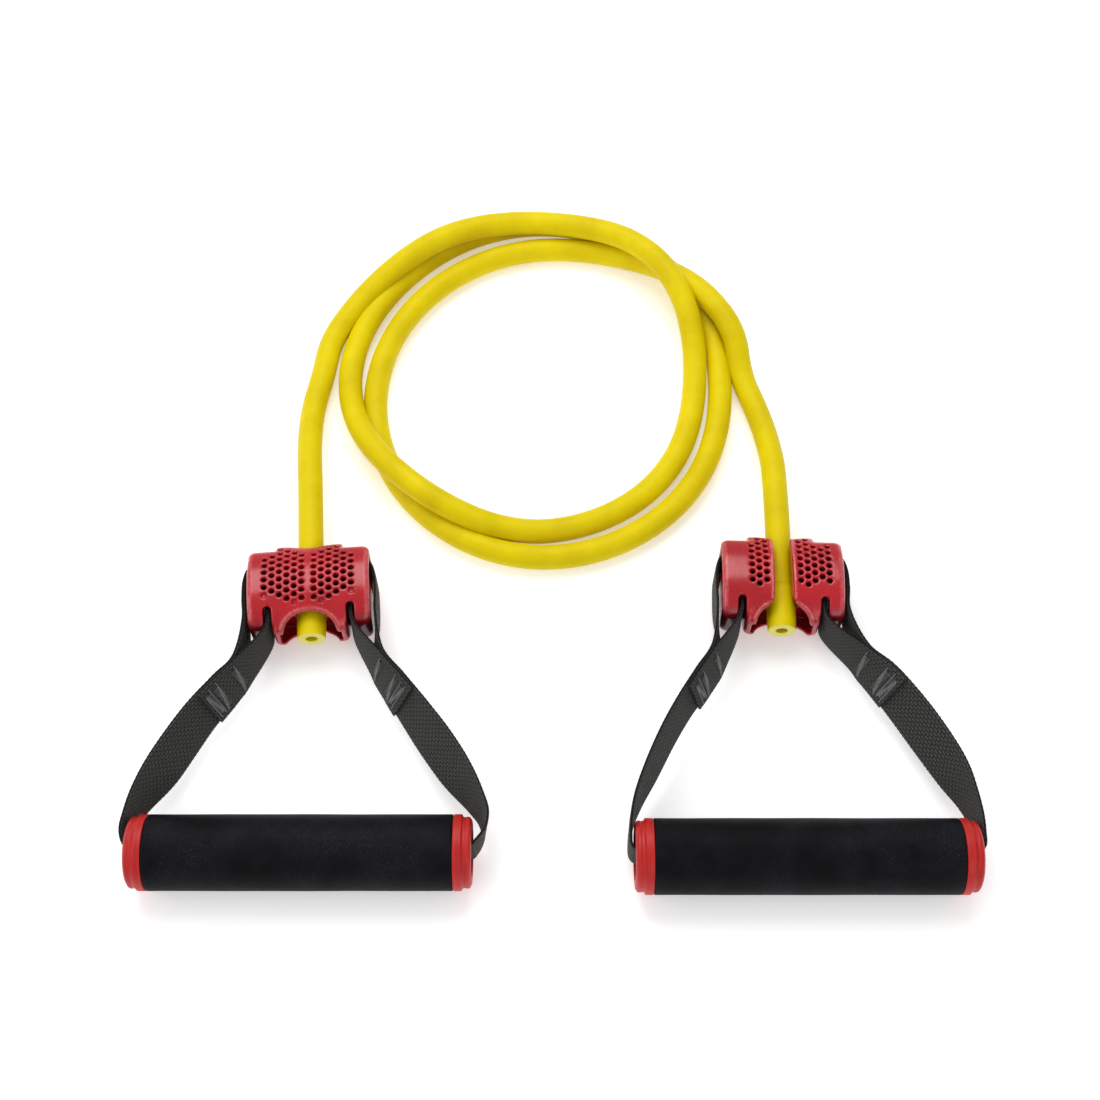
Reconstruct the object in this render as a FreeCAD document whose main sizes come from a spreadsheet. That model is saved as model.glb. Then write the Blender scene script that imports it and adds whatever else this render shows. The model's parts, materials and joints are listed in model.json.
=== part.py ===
"""Exchange-type resistance band: one coiled latex tube whose plugged ends sit in two moulded
pockets, each hung by webbing from a handle with a spinning grip.

Frame: millimetres, +Z up, both handles lying flat. The origin is under the middle of the two
handles, +X runs from the left handle to the right one, +Y from the grips to the coil.
"""
import FreeCAD, Part
import Sketcher
import math
import os

Vec = FreeCAD.Vector
UP = Vec(0, 0, 1)

# Driving dimensions, mm and degrees. Each name is an alias in the sheet.
SIZES = {
    "tube_radius": 5.5,
    "tube_hollow": 2.75,
    "bulge_radius": 6.25,
    "plug_radius": 3.5,
    "end_length": 26.5,
    "end_overhang": 0.5,
    "cord_height": 14.5,
    "pocket_width": 52.0,
    "pocket_length": 42.0,
    "pocket_depth": 29.0,
    "pocket_face_radius": 31.0,
    "pocket_wall": 2.0,
    "pocket_shoulder": 3.0,
    "crown_width": 29.0,
    "core_width": 29.0,
    "corner_radius": 2.5,
    "bore_radius": 5.85,
    "seat_radius": 6.6,
    "seat_height": -1.5,
    "slot_width": 8.0,
    "arch_radius": 12.0,
    "arch_roof": -8.0,
    "notch_width": 3.4,
    "notch_place": 17.5,
    "notch_top": -10.5,
    "window_low": 1.5,
    "window_high": 13.5,
    "webbing_width": 19.0,
    "webbing_thickness": 1.6,
    "flex_place": -33.0,
    "flex_radius": 8.0,
    "fork_length": 5.0,
    "fork_opening": 3.2,
    "layer_gap": 0.06,
    "tack_length": 3.2,
    "tack_width": 15.0,
    "tack_thickness": 0.5,
    "grip_radius": 15.2,
    "grip_length": 137.0,
    "core_radius": 12.0,
    "core_bore": 9.95,
    "cap_band": 3.4,
    "cap_length": 7.4,
    "cap_step": 1.1,
    "left_grip_x": -99.6,
    "left_grip_y": -61.8,
    "left_pocket_x": -103.0,
    "left_pocket_y": 53.5,
    "left_turn": 4.0,
    "right_grip_x": 102.3,
    "right_grip_y": -63.4,
    "right_pocket_x": 99.5,
    "right_pocket_y": 57.4,
    "right_turn": -1.5,
    "coil_x": -7.0,
    "coil_y": 166.0,
    "coil_inner": 67.0,
    "coil_outer": 95.6,
    "coil_half_width": 106.0,
    "coil_half_length": 93.0,
    "coil_shift_x": 1.5,
    "coil_shift_y": 6.0,
    "coil_height": 22.0,
}

# Each arm of the webbing, from the flex line down to the grip: distance out from the grip's
# middle, distance along Y from the grip's axis, and lean from upright in degrees.
ARMS = {
    "left": {
        -1: [(37.0, 70.8, 38), (45.8, 58.6, 38), (52.8, 46.7, 38), (59.2, 35.0, 36),
             (66.4, 22.5, 16), (69.9, 14.5, 4), (71.0, 7.5, 2)],
        1: [(35.2, 71.5, 44), (44.2, 58.6, 46), (52.5, 46.7, 46), (60.4, 35.0, 42),
            (69.2, 22.0, 22), (72.9, 14.5, 12), (72.9, 7.5, 4)],
    },
    "right": {
        -1: [(38.4, 76.5, 22), (46.4, 64.3, 20), (53.2, 52.3, 19), (60.8, 36.5, 16),
             (66.6, 23.5, 8), (69.3, 14.5, 2), (70.2, 7.5, 0)],
        1: [(37.9, 76.5, 46), (46.2, 64.3, 46), (53.4, 52.3, 44), (61.9, 36.5, 34),
            (67.6, 23.5, 12), (70.0, 14.5, 3), (70.4, 7.5, 0)],
    },
}
# The webbing's turn into the grip's bore, the same at each end: out, along Y, lean.
BORE_TURN = [(69.9, 2.2, 0), (68.2, 0.3, 0), (65.0, 0.0, 0), (40.0, 0.0, 0)]

# A loop through the pocket's wing, from above the flex line up the outside, over the wing's side
# wall and down through the notch: out from the pocket's axis, up from its middle, lean.
LOOP = [(28.2, -23.6, 8), (27.9, -14.0, 3), (28.1, -4.0, 0), (27.7, 4.0, 0), (25.9, 9.2, 0),
        (22.6, 10.9, 0), (19.5, 8.6, 0), (18.2, 2.5, 0), (17.6, -6.0, 0), (17.5, -14.0, 0),
        (18.6, -19.5, 4), (21.8, -23.6, 8)]
FLEX_OUT = {"left": {-1: 30.0, 1: 28.2}, "right": {-1: 27.8, 1: 33.4}}
TAIL_LENGTH = 34.0
TACK_PLACES = (3.5, 21.0)

# Route of the tube from each pocket to the coil: one point per bend, with its height.
ROUTES = {
    "left": [(-106.7, 107.0, 14.5), (-109.6, 131.0, 9.4), (-109.8, 153.0, 5.5),
             (-106.0, 171.5, 5.5)],
    "right": [(100.9, 110.0, 14.5), (99.4, 133.0, 9.4), (95.2, 154.0, 5.5), (89.0, 171.5, 5.5)],
}


def add_sheet(doc):
    """Write every driving dimension to the spreadsheet, one aliased row each."""
    sheet = doc.addObject("Spreadsheet::Sheet", "sizes")
    for row, (name, value) in enumerate(SIZES.items(), start=1):
        sheet.set("A%d" % row, name)
        sheet.set("B%d" % row, str(value))
        sheet.setAlias("B%d" % row, name)
    doc.recompute()
    return sheet


def bind(obj, expressions):
    """Bind properties of an object to expressions on the sheet."""
    for prop, expression in expressions.items():
        obj.setExpression(prop, named(expression))


def named(expression):
    """Put the sheet's name before every alias in an expression."""
    words = []
    word = ""
    for letter in expression + " ":
        if letter.isalpha() or letter == "_":
            word += letter
            continue
        words.append("sizes." + word if word in SIZES else word)
        word = ""
        words.append(letter)
    return "".join(words).strip()


def place(obj, x="0", y="0", z="0"):
    """Bind an object's position to expressions."""
    bind(obj, {"Placement.Base.x": x, "Placement.Base.y": y, "Placement.Base.z": z})


def box(doc, name, sizes, corner):
    """A box between two bound corners: lengths, then its low corner."""
    item = doc.addObject("Part::Box", name)
    bind(item, dict(zip(("Length", "Width", "Height"), sizes)))
    place(item, *corner)
    return item


def cylinder(doc, name, radius, length, corner, axis):
    """A cylinder from a bound point along +X, +Y or +Z."""
    item = doc.addObject("Part::Cylinder", name)
    turns = {"X": (Vec(0, 1, 0), 90), "Y": (Vec(1, 0, 0), -90), "Z": (UP, 0)}
    item.Placement = FreeCAD.Placement(Vec(), FreeCAD.Rotation(*turns[axis]))
    bind(item, {"Radius": radius, "Height": length})
    place(item, *corner)
    return item


def joined(doc, kind, name, items):
    """A multi-fuse or multi-common of several objects."""
    item = doc.addObject(kind, name)
    item.Shapes = items
    return item


def cut(doc, name, base, tool):
    """A boolean cut of two objects."""
    item = doc.addObject("Part::Cut", name)
    item.Base = base
    item.Tool = tool
    return item


def revolved(doc, label, profile):
    """A body turned about its X axis from (along, radius) corners given as expressions."""
    body = doc.addObject("PartDesign::Body", label)
    body.Label = label
    plane = [item for item in body.Origin.OriginFeatures if item.Role == "XY_Plane"][0]
    sketch = body.newObject("Sketcher::SketchObject", label + "_profile")
    sketch.AttachmentSupport = [(plane, "")]
    sketch.MapMode = "FlatFace"
    doc.recompute()
    corners = [[sketch.evalExpression(named(part)) for part in corner] for corner in profile]
    count = len(corners)
    for index, (x, y) in enumerate(corners):
        end = corners[(index + 1) % count]
        sketch.addGeometry(Part.LineSegment(Vec(x, y, 0), Vec(end[0], end[1], 0)), False)
    for index in range(count):
        sketch.addConstraint(Sketcher.Constraint("Coincident", index, 2, (index + 1) % count, 1))
    for index, corner in enumerate(profile):
        for kind, value, expression in zip(("DistanceX", "DistanceY"), corners[index], corner):
            number = sketch.addConstraint(Sketcher.Constraint(kind, index, 1, value))
            sketch.setExpression("Constraints[%d]" % number, named(expression))
    turn = body.newObject("PartDesign::Revolution", label + "_turn")
    turn.Profile = sketch
    turn.ReferenceAxis = (sketch, ["H_Axis"])
    turn.Angle = 360
    return body


def smooth_path(points, steps):
    """Positions, directions and running share of a smooth curve through the points."""
    curve = Part.BSplineCurve()
    curve.interpolate([Vec(*point[:3]) for point in points])
    marks = [curve.parameter(Vec(*point[:3])) for point in points]
    stations = []
    for index in range(steps + 1):
        mark = marks[0] + (marks[-1] - marks[0]) * index / steps
        span = max(item for item in range(len(marks) - 1) if marks[item] <= mark + 1e-9)
        share = (mark - marks[span]) / (marks[span + 1] - marks[span])
        lean = points[span][3] + (points[span + 1][3] - points[span][3]) * share
        stations.append((curve.value(mark), curve.tangent(mark)[0], math.radians(lean)))
    return stations


def section(station, width, thickness, offset):
    """The closed outline of webbing at one station, shifted along its face's normal."""
    point, along, lean = station
    outward = along.cross(UP).normalize()
    across = outward * math.sin(lean) + UP * math.cos(lean)
    face = across.cross(along).normalize()
    across = along.cross(face).normalize()
    middle = point + face * offset
    corners = [middle + across * (width / 2 * side) + face * (thickness / 2 * top)
               for side, top in ((-1, -1), (1, -1), (1, 1), (-1, 1))]
    return Part.makePolygon(corners + corners[:1])


def ribbon(stations, widths, thickness, offsets=None):
    """A solid strip along the stations, with a width and a shift along its face at each."""
    offsets = offsets or [0.0] * len(stations)
    outlines = [section(station, width, thickness, offset)
                for station, width, offset in zip(stations, widths, offsets)]
    return Part.makeLoft(outlines, True, True)


def feature(doc, label, shape, placement=None):
    """A plain feature that holds a shape worked out in code."""
    item = doc.addObject("Part::Feature", label)
    item.Label = label
    item.Shape = shape
    if placement:
        item.Placement = placement
    return item


def read(sheet):
    """The sheet's values by alias."""
    return {name: float(sheet.get(name)) for name in SIZES}


def pocket_place(size, side):
    """Placement of a pocket: its middle, turned about Z."""
    middle = Vec(size[side + "_pocket_x"], size[side + "_pocket_y"], size["cord_height"])
    return FreeCAD.Placement(middle, FreeCAD.Rotation(UP, size[side + "_turn"]))


def lens(doc, name, radius, length):
    """The space between two arched faces, for a shell's outside or inside."""
    depth = "(pocket_depth / 2 - pocket_face_radius)"
    start = "0 - (%s) / 2" % length
    upper = cylinder(doc, name + "_upper", radius, length, (start, "0", depth), "X")
    lower = cylinder(doc, name + "_lower", radius, length, (start, "0", "0 - " + depth), "X")
    return joined(doc, "Part::MultiCommon", name, [upper, lower])


def pocket(doc, side, size):
    """Moulded pocket: arched shell, tube bore and slot, arches, webbing notches and windows."""
    name = side + "_pocket"
    outside = lens(doc, name + "_outside", "pocket_face_radius", "pocket_width")
    low = "0 - pocket_length / 2"
    tall = "pocket_depth"
    bottom = "0 - pocket_depth / 2"
    crown = box(doc, name + "_crown", ("crown_width", "pocket_length", tall),
                ("0 - crown_width / 2", low, bottom))
    wings = box(doc, name + "_wings",
                ("pocket_width", "pocket_length - pocket_shoulder - 2", tall),
                ("0 - pocket_width / 2", low + " + 2", bottom))
    rounded = doc.addObject("Part::Fillet", name + "_corners")
    rounded.Base = wings
    doc.recompute()
    upright = [index for index, edge in enumerate(wings.Shape.Edges, start=1)
               if abs(edge.tangentAt(edge.FirstParameter).z) > 0.9]
    rounded.Edges = [(index, size["corner_radius"], size["corner_radius"]) for index in upright]
    trimmed = joined(doc, "Part::MultiFuse", name + "_outline", [crown, rounded])
    blank = joined(doc, "Part::MultiCommon", name + "_blank", [outside, trimmed])

    inside = "(pocket_face_radius - pocket_wall)"
    inner = lens(doc, name + "_inside", inside, "pocket_width - 2 * pocket_wall")
    rooms = []
    for mark, start in (("a", "core_width / 2"), ("b", "0 - pocket_width / 2 + pocket_wall")):
        rooms.append(box(doc, name + "_room_" + mark,
                         ("pocket_width / 2 - pocket_wall - core_width / 2",
                          "pocket_length - pocket_shoulder - pocket_wall + 1", tall),
                         (start, low + " - 1", bottom)))
    rooms.append(box(doc, name + "_room_end", ("2 * arch_radius + 1", "arch_roof + "
                 "pocket_length / 2 + 3", tall),
                 ("0 - arch_radius - 0.5", low + " - 1", bottom)))
    hollow = joined(doc, "Part::MultiCommon", name + "_hollow",
                    [inner, joined(doc, "Part::MultiFuse", name + "_rooms", rooms)])

    tools = [hollow]
    tools.append(cylinder(doc, name + "_bore", "bore_radius", "pocket_length + 2",
                          ("0", low + " - 1", "0"), "Y"))
    tools.append(cylinder(doc, name + "_seat", "seat_radius",
                          "seat_height + pocket_length / 2 + 1", ("0", low + " - 1", "0"), "Y"))
    slot_side = "0" if side == "right" else "0 - pocket_depth / 2 - 1"
    tools.append(box(doc, name + "_slot", ("slot_width", "pocket_length + 2",
                     "pocket_depth / 2 + 1"), ("0 - slot_width / 2", low + " - 1", slot_side)))
    tools.append(cylinder(doc, name + "_arch", "arch_radius", tall + " + 2",
                          ("0", low, bottom + " - 1"), "Z"))
    for mark, sign in (("a", 1), ("b", -1)):
        middle = "%d * notch_place" % sign
        tools.append(box(doc, name + "_notch_" + mark,
                         ("notch_width", "notch_top + pocket_length / 2 + 1", tall + " + 2"),
                         (middle + " - notch_width / 2", low + " - 1", bottom + " - 1")))
        tools.append(cylinder(doc, name + "_notch_end_" + mark, "notch_width / 2", tall + " + 2",
                              (middle, "notch_top", bottom + " - 1"), "Z"))
        window_start = "%d * pocket_width / 2 - pocket_wall - 1" % sign
        tools.append(box(doc, name + "_window_" + mark,
                         ("2 * pocket_wall + 2", "window_high - window_low",
                          "webbing_width + 1"),
                         (window_start, "window_low", "0 - webbing_width / 2 - 0.5")))
    result = blank
    for number, tool in enumerate(tools, start=1):
        result = cut(doc, "%s_cut_%d" % (name, number), result, tool)
    result.Label = name
    result.Placement = pocket_place(size, side)
    return result


def arm_points(size, side, hand):
    """World points of one webbing arm, from above the flex line to the middle of the grip."""
    origin = Vec(size[side + "_grip_x"], size[side + "_grip_y"], size["grip_radius"])
    frame = pocket_place(size, side)
    first = [(LOOP[0][0], size["flex_place"] + 9.0, 14),
             (FLEX_OUT[side][hand], size["flex_place"], 24)]
    points = []
    for out, up, lean in first:
        spot = frame.multVec(Vec(hand * out, up, 0))
        points.append((spot.x, spot.y, spot.z, lean))
    for out, along, lean in ARMS[side][hand] + BORE_TURN:
        points.append((origin.x + hand * out, origin.y + along, origin.z, lean))
    return points


def above_flex(size, side, station):
    """How far a station stands above the flex line, towards the pocket."""
    return pocket_place(size, side).inverse().multVec(station[0]).y - size["flex_place"]


def rounded_width(size, above):
    """Webbing's width at a height above the flex line: a round end that can swing."""
    if above <= 0:
        return size["webbing_width"]
    round_width = 2 * math.sqrt(max(size["flex_radius"] ** 2 - above ** 2, 1.0))
    return min(size["webbing_width"], round_width)


def tail_offset(size, above):
    """The tail's distance from the main strap, which grows where the two part at the fork."""
    parting = max(0.0, above + size["fork_length"]) / (size["fork_length"] + size["flex_radius"])
    return size["webbing_thickness"] + size["layer_gap"] + size["fork_opening"] * parting ** 2


def handle_webbing(size, side):
    """The webbing from flex line to flex line through the grip, with its two sewn tails."""
    route = arm_points(size, side, -1) + arm_points(size, side, 1)[::-1]
    limit = size["flex_radius"] - 0.5
    stations = [item for item in smooth_path(route, 180) if above_flex(size, side, item) < limit]
    heights = [above_flex(size, side, item) for item in stations]
    widths = [rounded_width(size, above) for above in heights]
    thickness = size["webbing_thickness"]
    solids = [ribbon(stations, widths, thickness)]
    lengths = running_lengths(stations)
    for near, far in ((0, TAIL_LENGTH), (lengths[-1] - TAIL_LENGTH, lengths[-1])):
        chosen = [index for index, run in enumerate(lengths) if near <= run <= far]
        offsets = [tail_offset(size, heights[index]) for index in chosen]
        solids.append(ribbon([stations[index] for index in chosen],
                             [widths[index] for index in chosen], thickness, offsets))
    return Part.makeCompound(solids)


def running_lengths(stations):
    """Length along the stations from the first to each."""
    lengths = [0.0]
    for before, after in zip(stations, stations[1:]):
        lengths.append(lengths[-1] + (after[0] - before[0]).Length)
    return lengths


def bar_tacks(size, side):
    """Four dense rows of thread on the sewn tails, two on each arm."""
    route = arm_points(size, side, -1) + arm_points(size, side, 1)[::-1]
    stations = [item for item in smooth_path(route, 900) if above_flex(size, side, item) < 0]
    lengths = running_lengths(stations)
    lift = (1.5 * size["webbing_thickness"] + 2 * size["layer_gap"]
            + size["tack_thickness"] / 2)
    tacks = []
    for start in TACK_PLACES:
        for middle in (start, lengths[-1] - start):
            part = [item for item, run in zip(stations, lengths)
                    if abs(run - middle) <= size["tack_length"] / 2]
            part = [part[0], part[len(part) // 2], part[-1]]
            tacks.append(ribbon(part, [size["tack_width"]] * 3, size["tack_thickness"],
                                [lift] * 3))
    return Part.makeCompound(tacks)


def pocket_webbing(size, side):
    """The two loops of webbing through the pocket's wings, above the flex line."""
    frame = pocket_place(size, side)
    loops = []
    for hand in (-1, 1):
        points = []
        for u, v, lean in LOOP:
            spot = frame.multVec(Vec(hand * u, v, 0))
            points.append((spot.x, spot.y, spot.z, lean))
        stations = smooth_path(points, 60)
        top = max(range(len(stations)), key=lambda index: stations[index][0].y)
        stations = [(point, along, lean * hand * (1 if index < top else -1))
                    for index, (point, along, lean) in enumerate(stations)]
        loops.append(ribbon(stations, [size["webbing_width"]] * len(stations),
                            size["webbing_thickness"]))
    return Part.makeCompound(loops)


def tube_path(points):
    """Straight runs joined by tangent arcs, and the radii of those arcs."""
    spots = [Vec(*point) for point in points]
    edges = []
    radii = []
    start = spots[0]
    for before, corner, after in zip(spots, spots[1:], spots[2:]):
        one = (before - corner).normalize()
        two = (after - corner).normalize()
        half_turn = (math.pi - one.getAngle(two)) / 2
        reach = 0.45 * min((before - corner).Length, (after - corner).Length)
        radius = reach / math.tan(half_turn)
        first = corner + one * reach
        last = corner + two * reach
        centre = corner + (one + two).normalize() * (radius / math.cos(half_turn))
        middle = centre + (corner - centre).normalize() * radius
        edges.append(Part.LineSegment(start, first).toShape())
        edges.append(Part.Arc(first, middle, last).toShape())
        radii.append(radius)
        start = last
    edges.append(Part.LineSegment(start, spots[-1]).toShape())
    return Part.Wire(edges), radii


def tube_arm(size, side):
    """The loose tube from the end piece in a pocket to the side of the coil."""
    frame = pocket_place(size, side)
    top = size["end_length"] - size["end_overhang"] - size["pocket_length"] / 2
    start = frame.multVec(Vec(0, top, 0))
    points = [tuple(start)] + ROUTES[side]
    path, radii = tube_path(points)
    along = (Vec(*points[1]) - start).normalize()
    ring = Part.Wire(Part.makeCircle(size["tube_radius"], start, along))
    solid = path.makePipeShell([ring], True, False)
    expected = math.pi * size["tube_radius"] ** 2 * path.Length
    print(side, "arm radii", [round(value) for value in radii], "length", round(path.Length, 1),
          "volume share", round(solid.Volume / expected, 4))
    return solid


def coil(doc):
    """The two and a half loose turns as one closed ring of their outer shape."""
    round_part = cylinder(doc, "coil_outside", "coil_outer", "coil_height",
                          ("coil_x", "coil_y", "0"), "Z")
    outline = doc.addObject("Part::Ellipse", "coil_shoulders")
    bind(outline, {"MajorRadius": "coil_half_width", "MinorRadius": "coil_half_length"})
    place(outline, "coil_x + coil_shift_x", "coil_y + coil_shift_y")
    wide_part = doc.addObject("Part::Extrusion", "coil_wide")
    wide_part.Base = outline
    wide_part.Dir = UP
    wide_part.Solid = True
    bind(wide_part, {"LengthFwd": "coil_height"})
    outer = joined(doc, "Part::MultiFuse", "coil_outline", [round_part, wide_part])
    inner = cylinder(doc, "coil_inside", "coil_inner", "coil_height",
                     ("coil_x", "coil_y", "0"), "Z")
    ring = cut(doc, "coil_ring", outer, inner)
    ring.Label = "tube_coil"
    return ring


def tube_end(doc, side):
    """The plugged end of the tube: hollow, swollen over the plug, cut square."""
    swell = "end_length - (seat_height + pocket_length / 2 + end_overhang)"
    profile = [("0", "tube_hollow"), ("0", "tube_radius"),
               (swell, "tube_radius"), (swell + " + 1.6", "bulge_radius"),
               ("end_length - 5", "bulge_radius"), ("end_length", "tube_radius + 0.4"),
               ("end_length", "tube_hollow"), ("end_length - 3", "tube_hollow"),
               ("end_length - 3", "plug_radius"), (swell + " + 1.2", "plug_radius"),
               (swell, "tube_hollow")]
    return revolved(doc, side + "_tube_end", profile)


def plug(doc, side):
    """The rigid plug inside the tube's end, with a pilot nose."""
    swell = "end_length - (seat_height + pocket_length / 2 + end_overhang)"
    profile = [(swell + " - 4", "0"), (swell + " - 4", "tube_hollow - 1.4"),
               (swell, "tube_hollow"), (swell + " + 1.2", "plug_radius"),
               ("end_length - 3", "plug_radius"), ("end_length - 3", "0")]
    return revolved(doc, side + "_plug", profile)


def grip_parts(doc, side):
    """Core tube, sleeve and two end caps, each turned about the grip's axis."""
    half = "grip_length / 2"
    inner = "(%s - cap_length)" % half
    core = revolved(doc, side + "_core_tube",
                    [("0 - %s + 1" % half, "core_bore"), ("0 - %s + 1" % half, "core_radius"),
                     ("%s - 1" % half, "core_radius"), ("%s - 1" % half, "core_bore")])
    sleeve = revolved(doc, side + "_grip_sleeve",
                      [("0 - " + inner, "core_radius + 0.8"), ("0 - " + inner, "grip_radius"),
                       (inner, "grip_radius"), (inner, "core_radius + 0.8")])
    caps = []
    for mark, sign in (("left", "-1"), ("right", "1")):
        def out(expression, sign=sign):
            return "%s * (%s)" % (sign, expression)
        profile = [(out(inner), "core_radius"), (out(inner), "grip_radius"),
                   (out(inner + " + cap_band"), "grip_radius"),
                   (out(inner + " + cap_band + 0.3"), "grip_radius - cap_step"),
                   (out(half + " - 2.2"), "grip_radius - cap_step"),
                   (out(half + " - 0.8"), "grip_radius - cap_step - 0.5"),
                   (out(half), "grip_radius - cap_step - 2"),
                   (out(half), "core_bore"), (out(half + " - 1"), "core_bore"),
                   (out(half + " - 1"), "core_radius")]
        caps.append(revolved(doc, side + "_end_cap_" + mark, profile))
    return [core, sleeve] + caps


def set_places(size, side, turned, ends):
    """Put the grip's pieces on its axis and the tube's end pieces in the pocket."""
    for item in turned:
        item.Placement.Base = Vec(size[side + "_grip_x"], size[side + "_grip_y"],
                                  size["grip_radius"])
    frame = pocket_place(size, side)
    top = size["end_length"] - size["end_overhang"] - size["pocket_length"] / 2
    for item in ends:
        item.Placement = FreeCAD.Placement(frame.multVec(Vec(0, top, 0)),
                                           frame.Rotation * FreeCAD.Rotation(UP, -90))


def main():
    """Build, check and write every piece."""
    os.makedirs("parts", exist_ok=True)
    doc = FreeCAD.newDocument("resistance_band")
    size = read(add_sheet(doc))
    pieces = [coil(doc)]
    for side in ("left", "right"):
        turned = grip_parts(doc, side)
        ends = [tube_end(doc, side), plug(doc, side)]
        set_places(size, side, turned, ends)
        pieces += turned + ends + [pocket(doc, side, size)]
        pieces.append(feature(doc, side + "_handle_webbing", handle_webbing(size, side)))
        pieces.append(feature(doc, side + "_bar_tacks", bar_tacks(size, side)))
        pieces.append(feature(doc, side + "_pocket_webbing", pocket_webbing(size, side)))
        pieces.append(feature(doc, side + "_tube_arm", tube_arm(size, side)))
    doc.recompute()
    for item in doc.Objects:
        if "Invalid" in item.State or "Error" in item.State:
            raise RuntimeError("%s failed to build: %s" % (item.Label, item.State))
    for piece in pieces:
        if piece.Shape.isNull() or not piece.Shape.isValid() or not piece.Shape.Solids:
            raise RuntimeError("%s is not a valid solid" % piece.Label)
    for piece in pieces:
        piece.Shape.exportStep("parts/%s.step" % piece.Label)
        room = piece.Shape.BoundBox
        print("%-24s solids %d volume %.0f x %.1f..%.1f y %.1f..%.1f z %.1f..%.1f" % (
            piece.Label, len(piece.Shape.Solids), piece.Shape.Volume, room.XMin, room.XMax,
            room.YMin, room.YMax, room.ZMin, room.ZMax))


main()
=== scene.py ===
"""Looks of the exchange-type resistance band: coiled latex tube, two vented pockets, woven
webbing, and two spinning grips. Lengths named here are millimetres, and MM turns them to metres.
"""
import json
import math

import bpy
import numpy as np
from mathutils import Matrix, Vector


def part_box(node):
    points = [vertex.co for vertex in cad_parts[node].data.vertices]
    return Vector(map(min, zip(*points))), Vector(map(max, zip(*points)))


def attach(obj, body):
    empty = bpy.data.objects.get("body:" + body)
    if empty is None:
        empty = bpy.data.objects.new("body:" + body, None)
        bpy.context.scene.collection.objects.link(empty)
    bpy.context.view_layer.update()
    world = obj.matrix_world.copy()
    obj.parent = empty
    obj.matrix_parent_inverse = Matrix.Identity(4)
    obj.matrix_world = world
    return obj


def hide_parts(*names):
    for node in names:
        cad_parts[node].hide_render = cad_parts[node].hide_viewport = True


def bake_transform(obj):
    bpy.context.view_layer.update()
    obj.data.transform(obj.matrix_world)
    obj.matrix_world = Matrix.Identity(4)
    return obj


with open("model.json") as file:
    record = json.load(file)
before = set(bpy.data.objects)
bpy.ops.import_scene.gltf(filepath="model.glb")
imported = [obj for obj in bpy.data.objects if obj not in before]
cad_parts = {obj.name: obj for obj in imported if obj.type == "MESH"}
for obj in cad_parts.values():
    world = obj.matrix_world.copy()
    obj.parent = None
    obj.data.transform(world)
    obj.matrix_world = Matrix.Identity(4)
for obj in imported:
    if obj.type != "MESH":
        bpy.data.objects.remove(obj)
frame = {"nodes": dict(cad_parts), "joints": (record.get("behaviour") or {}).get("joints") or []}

MM = 0.001
UP = Vector((0, 0, 1))
SIDES = ("left", "right")
HANDS = (-1, 1)
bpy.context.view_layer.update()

# The tube's route from each pocket to the coil: one point per bend, with its height.
ROUTES = {
    "left": [(-106.7, 107.0, 14.5), (-109.6, 131.0, 9.4), (-109.8, 153.0, 5.5),
             (-106.0, 171.5, 5.5)],
    "right": [(100.9, 110.0, 14.5), (99.4, 133.0, 9.4), (95.2, 154.0, 5.5), (89.0, 171.5, 5.5)],
}
TUBE_RADIUS = 5.5
BULGE_RADIUS = 6.25
TUBE_HOLLOW = 2.75
PLUG_RADIUS = 3.5
CORD_TOP = -0.5
END_TIP = -21.5
SWELL_TOP = -1.5
MOUTH = 21.0

# The coil: radius of the tube's lane every 45 degrees, from its left side over the far side, and
# the humps where a turn passes over another: angle, lift and half width in degrees.
COIL_MIDDLE = (-7.0, 166.0)
LANE_STEP = 45
LANES = [102.5, 91.0, 88.5, 84.5, 74.0, 76.0, 77.4, 80.0, 86.2, 88.0, 94.0, 92.5, 86.0, 90.0,
         90.1, 81.5, 73.5, 72.5, 78.2, 87.0, 99.5]
HUMPS = [(118, 11.2, 50), (50, 15.6, 58), (-135, 11.3, 50), (-693, 11.3, 45)]
COIL_START = 165
COIL_END = -705
POINT_STEP = 15
# The smooth curve passes inside its control points, and this moves them out by as much.
LANE_SWELL = 1.0086

# Each arm of the webbing, from the flex line down to the grip: distance out from the grip's
# middle, distance along Y from the grip's axis, and lean from upright in degrees.
ARMS = {
    "left": {
        -1: [(37.0, 70.8, 28), (45.8, 58.6, 34), (52.8, 46.7, 38), (59.2, 35.0, 36),
             (66.4, 22.5, 16), (69.9, 14.5, 4), (71.0, 7.5, 2)],
        1: [(35.2, 71.5, 30), (44.2, 58.6, 40), (52.5, 46.7, 46), (60.4, 35.0, 42),
            (69.2, 22.0, 22), (72.9, 14.5, 12), (72.9, 7.5, 4)],
    },
    "right": {
        -1: [(38.4, 76.5, 22), (46.4, 64.3, 20), (53.2, 52.3, 19), (60.8, 36.5, 16),
             (66.6, 23.5, 8), (69.3, 14.5, 2), (70.2, 7.5, 0)],
        1: [(37.9, 76.5, 34), (46.2, 64.3, 42), (53.4, 52.3, 44), (61.9, 36.5, 34),
            (67.6, 23.5, 12), (70.0, 14.5, 3), (70.4, 7.5, 0)],
    },
}
BORE_TURN = [(69.9, 2.2, 0), (68.2, 0.3, 0), (65.0, 0.0, 0), (40.0, 0.0, 0), (12.0, 0.0, 0)]
# The fork above the flex line, where the loop's outer leg becomes the arm.
FLEX_PLACE = -33.0
FORK_RISE = 9
FORK_LEAN = 3
FLEX_LEAN = 18
FLEX_OUT = {"left": {-1: 30.0, 1: 28.2}, "right": {-1: 27.8, 1: 33.4}}
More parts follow.
